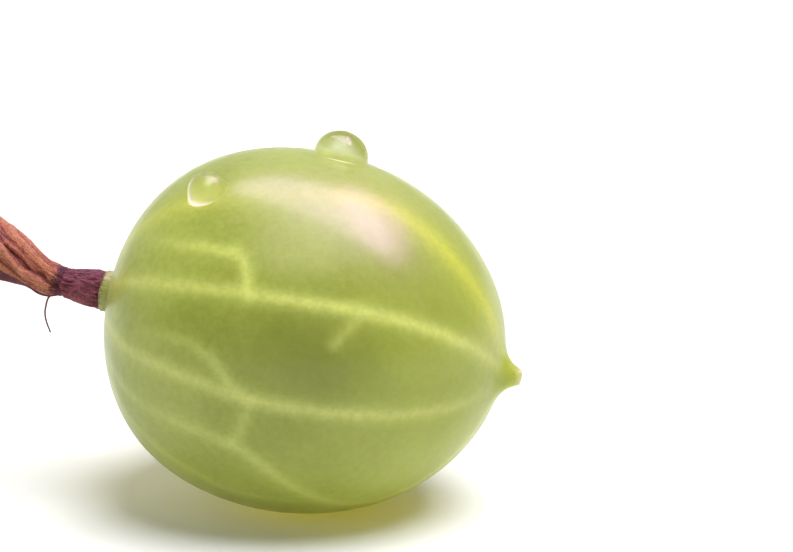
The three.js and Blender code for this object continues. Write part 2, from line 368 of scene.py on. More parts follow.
def nub_outline(foot_turn):
    """The nub's hollow side, its blunt rim and the shallow scar in its end."""
    foot = skin_point(foot_turn)
    tip_x = fruit_length / 2 + nub_length
    tip = np.array([tip_x - nub_rim, nub_tip_diameter / 2])
    reach = nub_hollow * np.linalg.norm(tip - foot)
    taper = at_angle(nub_taper)
    foot_pull = foot + reach * skin_direction(foot_turn)
    tip_pull = tip + reach * np.array([-math.cos(taper), math.sin(taper)])
    shares = np.linspace(0, 1, nub_steps)[1:, None]
    side = (
        (1 - shares) ** 3 * foot
        + 3 * shares * (1 - shares) ** 2 * foot_pull
        + 3 * shares ** 2 * (1 - shares) * tip_pull
        + shares ** 3 * tip
    )
    bend, inner_edge, wall = (tip[1] - inset for inset in nub_rim_insets)
    lip = rounded_steps(tip, [tip_x, bend], [tip_x, inner_edge], bend_steps)[1:]
    scar = rounded_steps(
        [tip_x, inner_edge], [tip_x - scar_depth, wall], [tip_x - scar_depth, 0.0], bend_steps
    )[1:]
    return np.vstack([side, lip, scar])


def fruit_outline():
    first = turn_at_radius(neck_diameter / 2, False)
    last = turn_at_radius(nub_foot_diameter / 2, True)
    body = np.array([skin_point(turn) for turn in np.linspace(first, last, body_steps)])
    return np.vstack([neck_outline(), body, nub_outline(last)])


def fruit_matrix():
    """From the fruit's frame in millimetres to the row frame in metres.

    The outline is leaned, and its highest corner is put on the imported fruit's."""
    lean = Matrix.Rotation(at_angle(fruit_lean), 4, "Y")
    outline = fruit_outline()
    cos, sin = math.cos(at_angle(fruit_lean)), math.sin(at_angle(fruit_lean))
    own_x = (outline[:, 0] * cos + outline[:, 1] * sin).max() * MM
    own_z = (-outline[:, 0] * sin + outline[:, 1] * cos).max() * MM
    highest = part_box("berry")[1]
    middle = Matrix.Translation((highest.x - own_x, 0, highest.z - own_z))
    return middle @ lean @ Matrix.Scale(MM, 4)


fruit_frame = fruit_matrix()
flower_frame = (
    fruit_frame
    @ Matrix.Translation((-fruit_length / 2 - neck_length, 0, 0))
    @ Matrix.Rotation(math.pi, 4, "Z")
)


def on_skin(turn, around, lift=0.0):
    """A point of the skin in the fruit's frame. around is 0 on top, a quarter turn in front."""
    along, radius = skin_point(turn)
    direction = skin_direction(turn)
    along -= lift * direction[1]
    radius += lift * direction[0]
    return Vector((along, -radius * math.sin(around), radius * math.cos(around)))


# ---- Objects ----

def link(obj):
    bpy.context.scene.collection.objects.link(obj)
    return obj


def curve_object(name, lines, radii=None):
    """A curve of straight steps through each list of points."""
    curve = bpy.data.curves.new(name, "CURVE")
    curve.dimensions = "3D"
    for number, points in enumerate(lines):
        spline = curve.splines.new("POLY")
        spline.points.add(len(points) - 1)
        for index, point in enumerate(points):
            spline.points[index].co = (*point, 1.0)
            if radii is not None:
                spline.points[index].radius = radii[number][index]
    return link(bpy.data.objects.new(name, curve))


def mesh_object(name, points, faces, attributes=None):
    mesh = bpy.data.meshes.new(name)
    mesh.from_pydata([tuple(p) for p in points], [], faces)
    for label, values in (attributes or {}).items():
        values = np.asarray(values, np.float32)
        kind = "FLOAT" if values.ndim == 1 else "FLOAT_VECTOR"
        field = "value" if values.ndim == 1 else "vector"
        attribute = mesh.attributes.new(label, kind, "POINT")
        attribute.data.foreach_set(field, values.ravel())
    mesh.shade_smooth()
    mesh.update()
    return link(bpy.data.objects.new(name, mesh))


def loft_faces(rows, columns):
    """Quads between closed rings, and a fan to a middle point at each end."""
    faces = []
    for row in range(rows - 1):
        for column in range(columns):
            after = (column + 1) % columns
            a = row * columns + column
            b = row * columns + after
            faces.append((a, b, b + columns, a + columns))
    start, end = rows * columns, rows * columns + 1
    last = (rows - 1) * columns
    for column in range(columns):
        after = (column + 1) % columns
        faces.append((start, after, column))
        faces.append((end, last + column, last + after))
    return faces


def loft(name, rings, frame_matrix, attributes=None):
    """A closed skin over a stack of rings, an array of rows by columns by 3."""
    rows, columns = rings.shape[:2]
    ends = np.stack([rings[0].mean(0), rings[-1].mean(0)])
    points = np.vstack([rings.reshape(-1, 3), ends])
    placed = [frame_matrix @ Vector(p) for p in points]
    full = {}
    for label, values in (attributes or {}).items():
        flat = values.reshape(rows * columns, -1)
        tips = np.stack([values[0].mean(0), values[-1].mean(0)]).reshape(2, -1)
        full[label] = np.vstack([flat, tips]).squeeze()
    return mesh_object(name, placed, loft_faces(rows, columns), full)


def outward(obj):
    """Turns the faces of a closed mesh outwards."""
    mesh = obj.data
    mesh.calc_loop_triangles()
    corners = np.array([v.co for v in mesh.vertices], dtype=float)
    corners -= corners.mean(0)
    triangles = np.array([t.vertices for t in mesh.loop_triangles])
    a, b, c = (corners[triangles[:, i]] for i in range(3))
    if np.einsum("ij,ij->i", a, np.cross(b, c)).sum() < 0:
        mesh.flip_normals()


def finish_piece(obj, material, node):
    obj.data.materials.clear()
    obj.data.materials.append(material)
    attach(obj, "root")
    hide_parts(node)


class Recipe:
    """A Geometry Nodes tree with named inputs, applied to an object to make a mesh."""

    def __init__(self, name):
        self.group = bpy.data.node_groups.new(name, "GeometryNodeTree")
        self.tree = Tree(self.group)
        for way in ("INPUT", "OUTPUT"):
            self.group.interface.new_socket(
                name="Geometry", in_out=way, socket_type="NodeSocketGeometry"
            )
        self.values = {}

    def takes(self, name, kind, value):
        """Adds a named input with the value it is used with here."""
        socket = self.group.interface.new_socket(
            name=name, in_out="INPUT", socket_type="NodeSocket" + kind
        )
        self.values[socket.identifier] = value

    def start(self):
        """The tree's inputs, once all of them are named."""
        return self.tree.add("NodeGroupInput")

    def end(self, geometry, material):
        """Makes instances real, gives the material and closes the tree."""
        real = self.tree.add("GeometryNodeRealizeInstances", {}, {"Geometry": geometry})[0]
        coated = self.tree.add(
            "GeometryNodeSetMaterial", {}, {"Geometry": real, "Material": material}
        )[0]
        self.tree.add("NodeGroupOutput", {}, {"Geometry": coated})

    def cook(self, source, name):
        """Runs the tree on the source object, and gives its result as a plain mesh."""
        modifier = source.modifiers.new(name, "NODES")
        modifier.node_group = self.group
        for identifier, value in self.values.items():
            modifier[identifier] = value
        graph = bpy.context.evaluated_depsgraph_get()
        graph.update()
        mesh = bpy.data.meshes.new_from_object(source.evaluated_get(graph))
        mesh.name = name
        source.modifiers.remove(modifier)
        bpy.data.objects.remove(source)
        mesh.shade_smooth()
        return link(bpy.data.objects.new(name, mesh))


# ---- Veins under the skin: stations (turn, around, strength), in degrees from the neck ----

front_veins = [
    [(14, 65, 0.4), (28, 64, 0.5), (66, 63, 0.68), (95, 61, 0.9), (124, 58, 1), (141, 57, 1),
     (156, 56, 0.7), (173, 56, 0.3)],
    [(14, 88, 0.3), (41, 92, 0.45), (63, 92, 0.6), (87, 94, 0.65), (114, 95, 0.75), (143, 97, 0.5),
     (156, 98, 0.3), (170, 99, 0.1)],
    [(14, 110, 0.15), (43, 111, 0.22), (79, 111, 0.36), (91, 117, 0.42), (107, 136, 0.42),
     (118, 148, 0.35), (135, 154, 0.4), (173, 156, 0.4)],
]
crown_vein = [
    (14, 54, 0.15), (29, 36, 0.4), (43, 32, 0.5), (67, 30, 0.3), (85, 25, 0.2), (100, 19, 0.55),
    (115, 15, 0.85), (137, 17, 0.95), (155, 18, 0.9), (173, 18, 0.4),
]
back_vein_angles = [-42, -74, -106, -138, -172]
back_vein_turns = (14, 173)
back_vein_stations = 7
back_vein_sway = 4
back_vein_strength = 0.55
side_veins = [
    [(82, 62, 0.9), (80, 56, 1), (78, 52, 1), (75, 50, 0.9), (71, 50, 0.8), (65, 49, 0.75),
     (59, 49, 0.6), (51, 47, 0.35), (40, 45, 0)],
    [(87, 94, 0.4), (82, 91, 0.6), (78, 87, 0.6), (75, 84, 0.55), (72, 83, 0.5), (68, 81, 0.4),
     (63, 81, 0.35), (54, 82, 0.2), (42, 84, 0)],
    [(88, 94, 0.3), (86, 104, 0.4), (83, 112, 0.3)],
    [(114, 60, 0.2), (111, 66, 0.5), (108, 72, 0.5), (107, 75, 0)],
    [(20, 121, 0), (55, 129, 0.25), (72, 133, 0.3), (79, 136, 0.3), (88, 137, 0.25), (104, 138, 0)],
]
far_fork_count = 6
far_fork_turns = (55, 120)
# A far fork: degrees back towards the neck, degrees aside, strength, and random sway
far_fork_steps = [(0, 0, 0.4, 0), (3, 6, 0.5, 0), (9, 12, 0.5, 0), (22, 15, 0.35, 2), (36, 17, 0, 0)]
vein_seed = 5
main_vein_half_width = 0.55
side_vein_half_width = 0.45
crown_vein_half_width = 1.15
vein_wander, wander_scale = 0.25, 0.9   # how far a vein's edges stray, and how often

# Darker patches of skin: turn, around, radius in millimetres and strength
shade_patches = [(103, 77, 6, 0.62), (78, 76, 5, 0.15), (92, 122, 8, 0.25), (130, 40, 5, 0.2)]


def soft_line(points, steps=12):
    """A soft curve through hand-set points."""
    points = np.array(points, float)
    padded = np.vstack([2 * points[0] - points[1], points, 2 * points[-1] - points[-2]])
    line = []
    for index in range(len(points) - 1):
        before, start, end, after = padded[index:index + 4]
        for share in np.linspace(0, 1, steps, endpoint=False):
            line.append(0.5 * (
                2 * start + (end - before) * share
                + (2 * before - 5 * start + 4 * end - after) * share ** 2
                + (3 * start - before - 3 * end + after) * share ** 3
            ))
    line.append(points[-1])
    return np.array(line)


def back_vein_routes(chance):
    turns = np.linspace(*back_vein_turns, back_vein_stations)
    routes = []
    for angle in back_vein_angles:
        sways = chance.uniform(-back_vein_sway, back_vein_sway, back_vein_stations)
        routes.append([(turn, angle + sway, back_vein_strength) for turn, sway in zip(turns, sways)])
    return routes


def far_side_forks(chance):
    """Short forks that leave a far vein and fade out between two of them."""
    forks = []
    for _ in range(far_fork_count):
        start = chance.uniform(*far_fork_turns)
        angle = chance.choice(back_vein_angles)
        way = chance.choice([-1, 1])
        fork = []
        for back, aside, strength, sway in far_fork_steps:
            stray = chance.uniform(-sway, sway) if sway else 0
            fork.append((start - back, angle + aside * way + stray, strength))
        forks.append(fork)
    return forks


def vein_object(name, veins):
    """Soft routes on the skin through the stations, with the strength as the curve's radius."""
    routes = [soft_line(stations) for stations in veins]
    lines = [
        [on_skin(at_angle(turn), at_angle(around)) for turn, around, _ in route] for route in routes
    ]
    strengths = [[max(strength, 0) for _, _, strength in route] for route in routes]
    return curve_object(name, lines, strengths)


def vein_objects():
    """Each set of veins with its half width."""
    chance = np.random.RandomState(vein_seed)
    main = front_veins + back_vein_routes(chance)
    side = side_veins + far_side_forks(chance)
    return {
        "main_vein": (vein_object("main_veins", main), main_vein_half_width),
        "side_vein": (vein_object("side_veins", side), side_vein_half_width),
        "crown_vein": (vein_object("crown_veins", [crown_vein]), crown_vein_half_width),
    }


# ---- Fruit ----

fruit_end = fruit_length / 2
weld_distance = 1e-4
end_margin = 1.5            # the body's unevenness fades out this far before its ends
end_blend = 0.1
nub_full = 0.8              # the nub is fully torn this far past the body
neck_full = 0.3             # the neck is fully stranded this far past the body
swell_scale = 0.16
torn_scale = 3.2
strand_scales = (1.2, 6.0, 6.0)


def vein_glow(tree, veins, half_width, position):
    """A vein's strength on the vein, falling softly to 0 beside it."""
    info = tree.add("GeometryNodeObjectInfo", {"transform_space": "ORIGINAL"}, {"Object": veins})
    marked = tree.stored(info["Geometry"], "strength", tree.add("GeometryNodeInputRadius")[0])
    wires = tree.add("GeometryNodeCurveToMesh", {}, {"Curve": marked})["Mesh"]
    near = tree.add(
        "GeometryNodeProximity", {"target_element": "EDGES"},
        {"Geometry": wires, "Sample Position": position},
    )
    index = tree.add(
        "GeometryNodeSampleNearest", {"domain": "POINT"},
        {"Geometry": wires, "Sample Position": position},
    )["Index"]
    strength = tree.add(
        "GeometryNodeSampleIndex", {"data_type": "FLOAT", "domain": "POINT"},
        {"Geometry": wires, "Index": index,
         "Value": tree.add("GeometryNodeInputNamedAttribute", {"data_type": "FLOAT"},
                           {"Name": "strength"})["Attribute"]},
    )["Value"]
    wander = (tree.noise(position, wander_scale, 3.0) - 0.5) * vein_wander
    distance = tree.maths("MAXIMUM", near["Distance"] + wander, 0.0) / half_width
    return strength / (1.0 + distance * distance) ** 2.0


def fruit_recipe(veins, material):
    """Turns the outline round the fruit's axis, sinks the veins and rests the fruit."""
    recipe = Recipe("turned_fruit")
    recipe.takes("Steps along", "Int", fruit_mesh[0])
    recipe.takes("Steps round", "Int", fruit_mesh[1])
    recipe.takes("End closeness", "Float", 0.72)
    for label, (lines, half_width) in veins.items():
        recipe.takes(label, "Object", lines)
        recipe.takes(label + " half width", "Float", half_width)
    recipe.takes("Vein relief", "Float", 0.012)
    recipe.takes("Skin unevenness", "Float", 0.05)
    recipe.takes("Nub roughness", "Float", 0.07)
    recipe.takes("Neck roughness", "Float", 0.16)
    recipe.takes("Lean", "Vector", (0.0, at_angle(fruit_lean), 0.0))
    recipe.takes("Seat", "Vector", fruit_frame.translation)
    recipe.takes("Rest softness", "Float", 0.00012)
    given = recipe.start()
    tree = recipe.tree

    grid = tree.add("GeometryNodeMeshGrid", {}, {
        "Size X": 1.0, "Size Y": 1.0,
        "Vertices X": given["Steps along"], "Vertices Y": given["Steps round"],
    })
    place = tree.parts(tree.add("GeometryNodeInputPosition")[0])
    share = place["X"] + 0.5
    full_turn = 2 * math.pi
    crowd = given["End closeness"] * tree.maths("SINE", share * full_turn) / full_turn
    outline = tree.add(
        "GeometryNodeSampleCurve", {"mode": "FACTOR"},
        {"Curves": given["Geometry"], "Factor": share - crowd},
    )
    profile = tree.parts(outline["Position"])
    around = (place["Y"] + 0.5) * full_turn
    turned = tree.joined(
        profile["X"],
        profile["Y"] * tree.maths("SINE", around),
        profile["Y"] * tree.maths("COSINE", around),
    )
    closed = tree.add(
        "GeometryNodeMergeByDistance", {},
        {"Geometry": tree.moved(grid["Mesh"], "Position", turned), "Distance": weld_distance},
    )["Geometry"]

    spot = tree.add("GeometryNodeInputPosition")[0]
    stored = closed
    strengths = {}
    for label in veins:
        strengths[label] = vein_glow(tree, given[label], given[label + " half width"], spot)
        stored = tree.stored(stored, label, strengths[label])
    stored = tree.stored(stored, "fruit_place", spot, "FLOAT_VECTOR")

    along = tree.parts(spot)["X"]
    on_body = tree.ramp(tree.maths("ABSOLUTE", along), fruit_end, fruit_end - end_margin)
    on_nub = tree.ramp(along, fruit_end + end_blend, fruit_end + nub_full)
    on_neck = tree.ramp(along, -fruit_end + end_blend, -fruit_end - neck_full)
    groove = strengths["main_vein"] * given["Vein relief"]
    swell = (tree.noise(spot, swell_scale, 2.0) - 0.5) * given["Skin unevenness"]
    torn = (tree.noise(spot, torn_scale, 3.0) - 0.5) * given["Nub roughness"]
    strands = tree.stretched_noise(spot, strand_scales, 3.0, 0.6) - 0.5
    lift = on_body * (swell - groove) + on_nub * torn + on_neck * strands * given["Neck roughness"]
    normal = tree.add("GeometryNodeInputNormal")[0]
    lifted = tree.moved(stored, "Offset", tree.scaled(normal, lift))

    laid = tree.add("GeometryNodeTransform", {}, {
        "Geometry": lifted, "Translation": given["Seat"], "Rotation": given["Lean"],
        "Scale": (MM, MM, MM),
    })["Geometry"]
    placed = tree.parts(tree.add("GeometryNodeInputPosition")[0])
    softness = given["Rest softness"]
    height = placed["Z"]
    rested = (height + tree.maths("SQRT", height * height + softness * softness)) * 0.5
    pressed = tree.joined(placed["X"], placed["Y"], rested)
    recipe.end(tree.moved(laid, "Position", pressed), material)
    return recipe


def make_fruit(material):
    veins = vein_objects()
    outline = curve_object("fruit_outline", [[(x, r, 0.0) for x, r in fruit_outline()]])
    fruit = fruit_recipe(veins, material).cook(outline, "gooseberry_fruit")
    for lines, _ in veins.values():
        bpy.data.objects.remove(lines)
    outward(fruit)
    finish_piece(fruit, material, "berry")
    return fruit


# ---- Dried flower ----

def middle_line(along):
    """Rise and heading of the flower's middle line, for an array of distances along it."""
    slope = math.tan(at_angle(flower_bend))
    bend_start = tube_length - bend_lead
    share = np.clip((along - bend_start) / bend_length, 0, 1)
    straight_on = np.maximum(0, along - bend_start - bend_length)
    rise = slope * (bend_length * (share ** 3 - share ** 4 / 2) + straight_on)
    heading = np.arctan(slope * share ** 2 * (3 - 2 * share))
    return rise, heading


def beside_middle(along, radius, angle):
    """Points at a radius and an angle, from the top towards the front, round the middle line."""
    rise, heading = middle_line(along)
    up = radius * np.cos(angle)
    x = along - up * np.sin(heading)
    z = rise + up * np.cos(heading)
    return np.stack(np.broadcast_arrays(x, radius * np.sin(angle), z), axis=-1)


def smooth_step(value, low, high):
    share = np.clip((value - low) / (high - low), 0, 1)
    return share * share * (3 - 2 * share)


def grain(along, across, rows, columns, seed, wrap=False):
    """Smooth noise from -1 to 1 over two shares, on a seeded grid of rows and columns."""
    table = np.random.RandomState(seed).uniform(-1, 1, (rows + 2, columns + 2))
    if wrap:
        table[:, columns] = table[:, 0]
        table[:, columns + 1] = table[:, 1]
    row = np.clip(along, 0, 1) * rows
    column = np.mod(across, 1.0) * columns if wrap else np.clip(across, 0, 1) * columns
    r0, c0 = np.floor(row).astype(int), np.floor(column).astype(int)
    fr, fc = row - r0, column - c0
    fr, fc = fr * fr * (3 - 2 * fr), fc * fc * (3 - 2 * fc)
    upper = table[r0, c0] * (1 - fc) + table[r0, c0 + 1] * fc
    lower = table[r0 + 1, c0] * (1 - fc) + table[r0 + 1, c0 + 1] * fc
    return upper * (1 - fr) + lower * fr


def fibres(along, across, strands, seed, wrap=False):
    """Lengthwise ridges and furrows of shrivelled tissue, from coarse folds to fine fibres."""
    across = across + 0.25 / strands * grain(along, across, 4, strands // 2, seed + 50, wrap)
    coarse = grain(along, across, 2, strands, seed, wrap)
    middle = grain(along, across, 4, 2 * strands, seed + 1, wrap)
    fine = grain(along, across, 12, 5 * strands, seed + 2, wrap)
    return 0.38 * coarse + 0.34 * (1 - 2.4 * np.abs(middle)) + 0.28 * fine


def make_tube(material):
    """The withered tube, creased lengthwise, its far end drawn in under the sepals."""
    rows, columns = tube_mesh
    share = np.linspace(0, 1, rows)[:, None] * np.ones((1, columns))
    turn = np.arange(columns)[None, :] / columns * np.ones((rows, 1))
    root = neck_diameter / 2 - tube_ledge
    waist = tube_waist_diameter / 2
    radius = root + (waist - root) * smooth_step(share, *tube_narrowing)
    folds = fibres(share, turn, tube_folds, 11, wrap=True)
    dents = grain(share, turn, 4, 5, 90, wrap=True)
    radius = radius * (1 + tube_dent_depth * dents) + tube_fold_depth * (folds - 0.1)
    radius -= foot_tuck * np.clip((foot_tuck_share - share) / foot_tuck_share, 0, 1) ** 2
    radius -= end_tuck * smooth_step(share, end_tuck_start, 1.0)
    along = -tube_sink + share * (tube_length + tube_reach)
    rings = beside_middle(along, radius, 2 * math.pi * turn)
    # The folds are also kept to colour the tube: painted highlights on their ridges, painted shade in
    # their furrows.
    tube = loft("dried_flower_tube", rings, flower_frame, {
        "fold_shade": folds, "share": share, "tone": 0.35 + 0.35 * dents,
        "grain_place": np.stack(
            [np.cos(2 * math.pi * turn), share, np.sin(2 * math.pi * turn)], axis=-1
        ),
    })
    outward(tube)
    finish_piece(tube, material, "floral_tube")


def strap_section(count):
    """Shares across a strap and through it, once round its section: out over the outer
    face, round the edge and back under the inner face."""
    face = np.linspace(-1, 1, count)
    edge = np.linspace(math.pi / 2, -math.pi / 2, 7)[1:-1]
    across = np.concatenate([face, 1 + 0 * edge, face[::-1], -1 + 0 * edge])
    through = np.concatenate([1 + 0 * face, np.sin(edge), -1 + 0 * face, -np.sin(edge)])
    bulge = np.concatenate([0 * face, np.cos(edge), 0 * face, -np.cos(edge)])
    return across, through, bulge


def make_sepal(index, tone, bulge_at_foot, material):
    """A shrivelled sepal, folded lengthwise, twisting round the bundle and parting at its tip."""
    rows, columns = sepal_mesh
    across, through, bulge = strap_section(columns)
    share = np.linspace(0, 1, rows)[:, None] * np.ones((1, len(across)))
    across, through, bulge = (part[None, :] * np.ones((rows, 1)) for part in (across, through, bulge))
    chance = np.random.RandomState(30 + index)
    own_length = sepal_length * (1 - sepal_shortening * (index % 3))
    start = tube_length - sepal_root_depth
    along = start + share * (own_length + sepal_end_reach)

    sector = 2 * math.pi / sepal_count
    breadth = np.sqrt(np.clip(1 - tip_cut * share ** tip_power, 0, 1))
    reach = sepal_overlap * sector * breadth
    twisted = at_angle(bundle_turn) - at_angle(bundle_twist) * smooth_step(share, *sepal_twist_span)
    angle = sector * index + twisted - reach * across
    angle += angle_sway * grain(share, 0.5 + 0.25 * across, 5, 2, 60 + index)

    past_start = along - start
    base = tube_waist_diameter / 2 - bundle_sink
    base = base + bundle_swell * smooth_step(past_start, swell_start, swell_length)
    base = base + collar_height * smooth_step(past_start, swell_start, collar_end)
    base = base + bulge_at_foot * np.exp(-((past_start - bulge_place) / bulge_width) ** 2)
    folds = fibres(share, 0.5 + 0.5 * across, sepal_folds, 100 + 7 * index)
    pleat = np.cos(pleat_turn * math.pi * across + chance.uniform(0, 6)) * (1 - 0.5 * across ** 2)
    crown = crown_height * (1 - 1.5 * across ** 2) + pleat_depth * pleat * smooth_step(share, 0, 0.3)
    crumple = crumple_depth * grain(share, 0.5 + 0.5 * across, 9, 3, 70 + index)
    parting = chance.uniform(*tip_parting) * smooth_step(share, 0.7, 1.2) ** 1.5
    thickness = sepal_thickness * (1 - sepal_thinning * share)
    radius = base * (0.9 + crown) + crumple + parting
    radius = radius + sepal_fold_depth * folds * (0.5 + 0.6 * share)
    radius = radius - edge_tuck * across + 0.5 * thickness * through
    angle = angle - 0.5 * thickness * bulge / base

    # Painted light: the raised middle and the folds' ridges get the lit colour, the edges and furrows
    # the shaded one.
    shade = np.clip(0.5 + 2.2 * crown + 0.35 * folds, 0, 1)
    # Painted shade: the edge that lies under the next sepal is coloured darker.
    tucked_shade = smooth_step(across, 0.3, 1)
    rings = beside_middle(along, radius, angle)
    sepal = loft(f"dried_sepal_{index + 1}", rings, flower_frame, {
        "fold_shade": 2 * shade - 1, "share": share, "tone": tone * (1 - 0.8 * tucked_shade),
        "grain_place": np.stack([0.5 + 0.5 * across, share, np.full_like(share, index)], axis=-1),
    })
    outward(sepal)
    finish_piece(sepal, material, f"sepal_{index + 1}")


# ---- Threads: stamens and style ----

def thread_recipe(material, head_length, head_diameter):
    """A round thread along its line, thinner towards its end, with a head if it has one."""
    recipe = Recipe("thread")
    recipe.takes("Diameter", "Float", thread_diameter * MM)
    recipe.takes("End share", "Float", thread_end_share)
    recipe.takes("Kink", "Float", thread_kink * MM)
    recipe.takes("Head length", "Float", head_length * MM)
    recipe.takes("Head diameter", "Float", head_diameter * MM)
    given = recipe.start()
    tree = recipe.tree
    line = tree.add(
        "GeometryNodeResampleCurve", {}, {"Curve": given["Geometry"], "Count": thread_steps}
    )["Curve"]
    position = tree.add("GeometryNodeInputPosition")[0]
    kink = tree.add("ShaderNodeTexNoise", {}, {"Vector": position, "Scale": kink_scale})["Color"]
    sway = tree.scaled(tree.vector("SUBTRACT", kink, (0.5, 0.5, 0.5)), given["Kink"] * 2.0)
    share = tree.add("GeometryNodeSplineParameter")["Factor"]
    bent = tree.moved(line, "Offset", sway)
    width = 1.0 - share * (1.0 - given["End share"])
    round_start, round_size = thread_rounding
    near_end = tree.ramp(share, round_start, 1.0, 1.0, round_size)
    section = tree.add("GeometryNodeCurvePrimitiveCircle", {}, {"Resolution": 12, "Radius": 0.5})
    tube = tree.add("GeometryNodeCurveToMesh", {}, {
        "Curve": bent, "Profile Curve": section["Curve"],
        "Scale": given["Diameter"] * width * near_end, "Fill Caps": True,
    })["Mesh"]
    parts = tree.add("GeometryNodeJoinGeometry")
    tree.owner.links.new(tube.socket, parts.node.inputs[0])
    if head_length > 0:
        tips = tree.add("GeometryNodeCurveToPoints", {"mode": "EVALUATED"}, {"Curve": bent})
        ball = tree.add("GeometryNodeMeshUVSphere", {}, {"Segments": 16, "Rings": 10, "Radius": 0.5})
        last = tree.maths("GREATER_THAN", tree.add("GeometryNodeInputIndex")[0], thread_steps - 1.5)
        size = tree.joined(given["Head diameter"], given["Head diameter"], given["Head length"])
        heads = tree.add("GeometryNodeInstanceOnPoints", {}, {
            "Points": tips["Points"], "Selection": last, "Instance": ball["Mesh"],
            "Rotation": tips["Rotation"], "Scale": size,
        })["Instances"]
        tree.owner.links.new(heads.socket, parts.node.inputs[0])
    recipe.end(parts[0], material)
    return recipe


def thread_piece(name, lines, node, material, head_length=0.0, head_diameter=0.0):
    placed = [[flower_frame @ Vector(p) for p in line] for line in lines]
    source = curve_object(name + "_line", placed)
    piece = thread_recipe(material, head_length, head_diameter).cook(source, name)
    finish_piece(piece, material, node)


def make_threads(material):
    start = tube_length - thread_root
    share = np.linspace(0, 1, line_points)
    for index in range(stamen_count):
        place = 2 * math.pi * index / stamen_count
        wave = stamen_wave * np.sin(stamen_waves * share + index)
        radius = stamen_circle * (1 + stamen_spread * share) + wave
        line = beside_middle(start + stamen_length * share, radius, place - share)
        thread_piece(
            f"dried_stamen_{index + 1}", [line], f"stamen_{index + 1}", material,
            anther_length, anther_diameter,
        )

    fork = smooth_step(share, style_fork, 1.0)
    branches = [
        beside_middle(
            start + style_length * share, side * style_spread * fork, np.full(line_points, math.pi / 2)
        )
        for side in (-1, 1)
    ]
    thread_piece("dried_style", branches, "style", material)

    clear = tube_waist_diameter / 2 + thread_diameter / 2 + hanging_gap
    hanging = [(tube_length + past, aside, -clear + above) for past, aside, above in hanging_route]
    thread_piece("dried_stamen_hanging", [soft_line(hanging)], "stamen_hanging", material)


# ---- Water drops ----

def make_drop(shape, material):
    """A drop that sits on the skin: a dome whose foot reaches just under the skin."""
    rows, columns = drop_mesh
    turn, around = at_angle(shape["turn"]), at_angle(shape["around"])
    half_width = shape["width"] / 2
    seat = on_skin(turn, around)
    out = (on_skin(turn, around, 1.0) - seat).normalized()
    sideways = out.cross(Vector((1, 0, 0))).normalized()
    forward = sideways.cross(out).normalized()
    level = np.linspace(0, 1, rows)[:, None] * np.ones((1, columns))
    angle = 2 * math.pi * np.arange(columns)[None, :] / columns * np.ones((rows, 1))
    climb = at_angle(90) * (1 - level)
    uneven = 1 + sum(size * np.sin(count * angle + start) for count, start, size in drop_waves)
    radius = np.maximum(half_width * (np.sin(climb) ** drop_fullness * uneven), weld_distance)
    rise = np.cos(climb) * shape["height"]
    sink = drop_sink * (radius / half_width) ** 2 * (1 - level) ** 6
    points = []
    for row in range(rows):
        for column in range(columns):
            a, r = angle[row, column], radius[row, column]
            flat = forward * (r * math.cos(a)) + sideways * (r * math.sin(a))
            points.append(seat + flat + out * (rise[row, column] - sink[row, column]))
    rings = np.array(points).reshape(rows, columns, 3)
    fall = (np.linalg.norm(rings - np.array(seat), axis=2) ** 2) / fruit_diameter
    rings -= np.array(out)[None, None, :] * fall[:, :, None] * (1 - level[:, :, None]) ** 0.5
    foot = rings[0] - drop_skirt * np.array(out) - drop_tuck * (rings[0] - rings[0].mean(0))
    rings = np.concatenate([foot[None], rings])
    drop = loft(shape["name"], rings, fruit_frame)
    outward(drop)
    finish_piece(drop, material, shape["node"])


# ---- Materials ----

def new_material(name):
    material = bpy.data.materials.new(name)
    material.use_nodes = True
    return material, Tree(material.node_tree)


def surface(tree, sockets):
    shader = tree.add("ShaderNodeBsdfPrincipled", {}, sockets)
    tree.add("ShaderNodeOutputMaterial", {}, {"Surface": shader["BSDF"]})


def attribute(tree, name, output="Fac"):
    return tree.add("ShaderNodeAttribute", {"attribute_name": name})[output]


def painted_drop_light(tree, place, drop):
    """1 in the crescent of painted light that stands in for the light a drop gathers on the skin at
    one side of its foot.
    """
    seat = on_skin(at_angle(drop["turn"]), at_angle(drop["around"]))
    radius = drop["width"] / 2
    towards = Vector(drop["gathers"]).normalized()
    from_middle = tree.vector("DISTANCE", place, tuple(seat + towards * crescent_shift))
    inner, outer = crescent_edge
    inside = tree.ramp(from_middle, radius * inner, radius * outer, 1.0, 0.0)
    far = radius * (1 + drop["focus"])
    away = tree.vector("DISTANCE", place, tuple(seat - towards * radius * drop["focus"]))
    return inside * tree.ramp(away, far - drop["depth"] * radius, far - 0.02 * radius)


